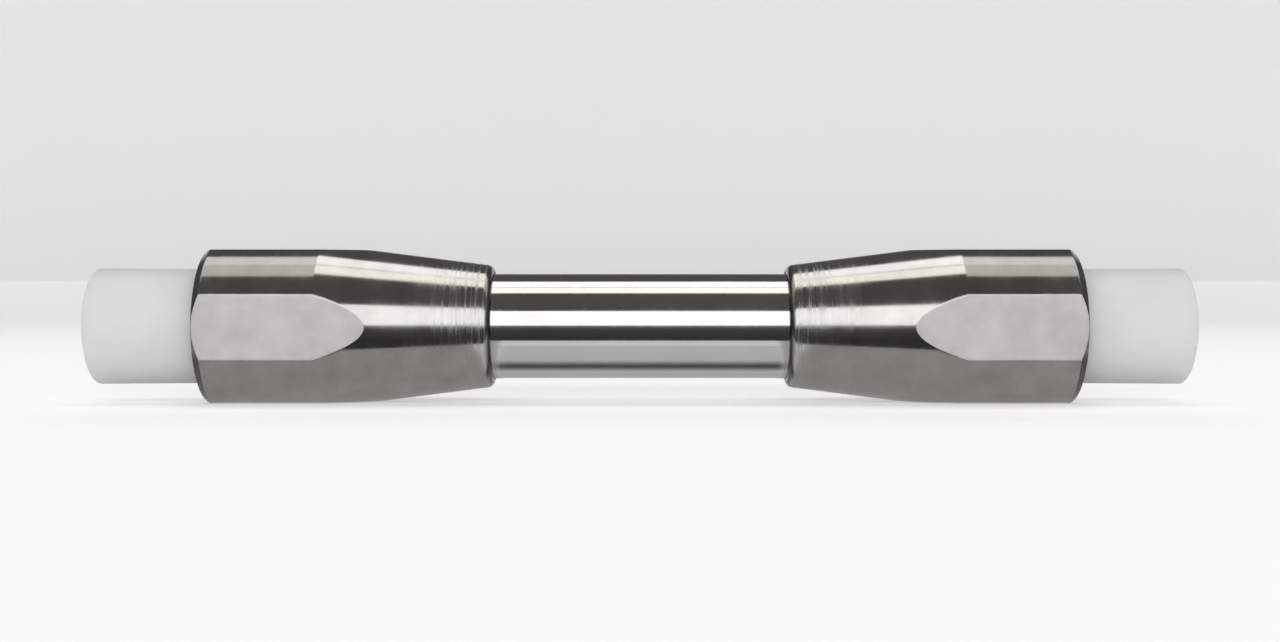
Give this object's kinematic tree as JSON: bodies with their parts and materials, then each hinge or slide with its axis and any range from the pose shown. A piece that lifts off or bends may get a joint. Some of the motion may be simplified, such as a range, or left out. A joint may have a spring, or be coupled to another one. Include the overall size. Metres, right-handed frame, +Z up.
{
  "type": "liquid chromatography column",
  "caption": "Short steel chromatography column with conical screw-on heads, wrench flats and white protective plugs in its ports.",
  "frame": {"origin": "middle of the column, on its axis", "axes": "+X along the axis in the direction of flow, from the inlet head to the outlet head; +Z up, square to the two wrench flats that it lies on"},
  "size_m": [0.0856, 0.012, 0.012],
  "materials": {
    "polished_steel": "polished",
    "turned_steel": "satin",
    "steel_mesh": "satin",
    "white_plug_plastic": "matte",
    "white_seal_plastic": "satin",
    "silica_packing": "matte"
  },
  "bodies": {
    "tube": {"column_tube": "polished_steel", "packed_bed": "silica_packing"},
    "inlet_seal_stack": {"inlet_fitting_adaptor": "turned_steel", "inlet_ptfe_ring": "white_seal_plastic", "inlet_sealing_element": "white_seal_plastic", "inlet_screen": "steel_mesh"},
    "inlet_head": {"inlet_head": "turned_steel"},
    "inlet_plug": {"inlet_plug": "white_plug_plastic"},
    "outlet_seal_stack": {"outlet_fitting_adaptor": "turned_steel", "outlet_ptfe_ring": "white_seal_plastic", "outlet_sealing_element": "white_seal_plastic", "outlet_screen": "steel_mesh"},
    "outlet_head": {"outlet_head": "turned_steel"},
    "outlet_plug": {"outlet_plug": "white_plug_plastic"}
  },
  "joints": [
    {"name": "inlet_head_travel", "type": "slide", "parent": "tube", "child": "inlet_seal_stack", "axis": [-1, 0, 0], "range_m": [0, 0.009]},
    {"name": "inlet_head_turn", "type": "hinge", "parent": "inlet_seal_stack", "child": "inlet_head", "pos_m": [-0.0294, 0, 0], "axis": [-1, 0, 0], "range_deg": [0, 4320]},
    {"name": "inlet_plug_pull", "type": "slide", "parent": "inlet_head", "child": "inlet_plug", "axis": [-1, 0, 0], "range_m": [0, 0.0045]},
    {"name": "outlet_head_travel", "type": "slide", "parent": "tube", "child": "outlet_seal_stack", "axis": [1, 0, 0], "range_m": [0, 0.009]},
    {"name": "outlet_head_turn", "type": "hinge", "parent": "outlet_seal_stack", "child": "outlet_head", "pos_m": [0.0294, 0, 0], "axis": [1, 0, 0], "range_deg": [0, 4320]},
    {"name": "outlet_plug_pull", "type": "slide", "parent": "outlet_head", "child": "outlet_plug", "axis": [1, 0, 0], "range_m": [0, 0.0045]}
  ],
  "couplings": [
    {"joint": "inlet_head_turn", "follows": "inlet_head_travel", "rad_per_m": 8377.6},
    {"joint": "outlet_head_turn", "follows": "outlet_head_travel", "rad_per_m": 8377.6}
  ]
}
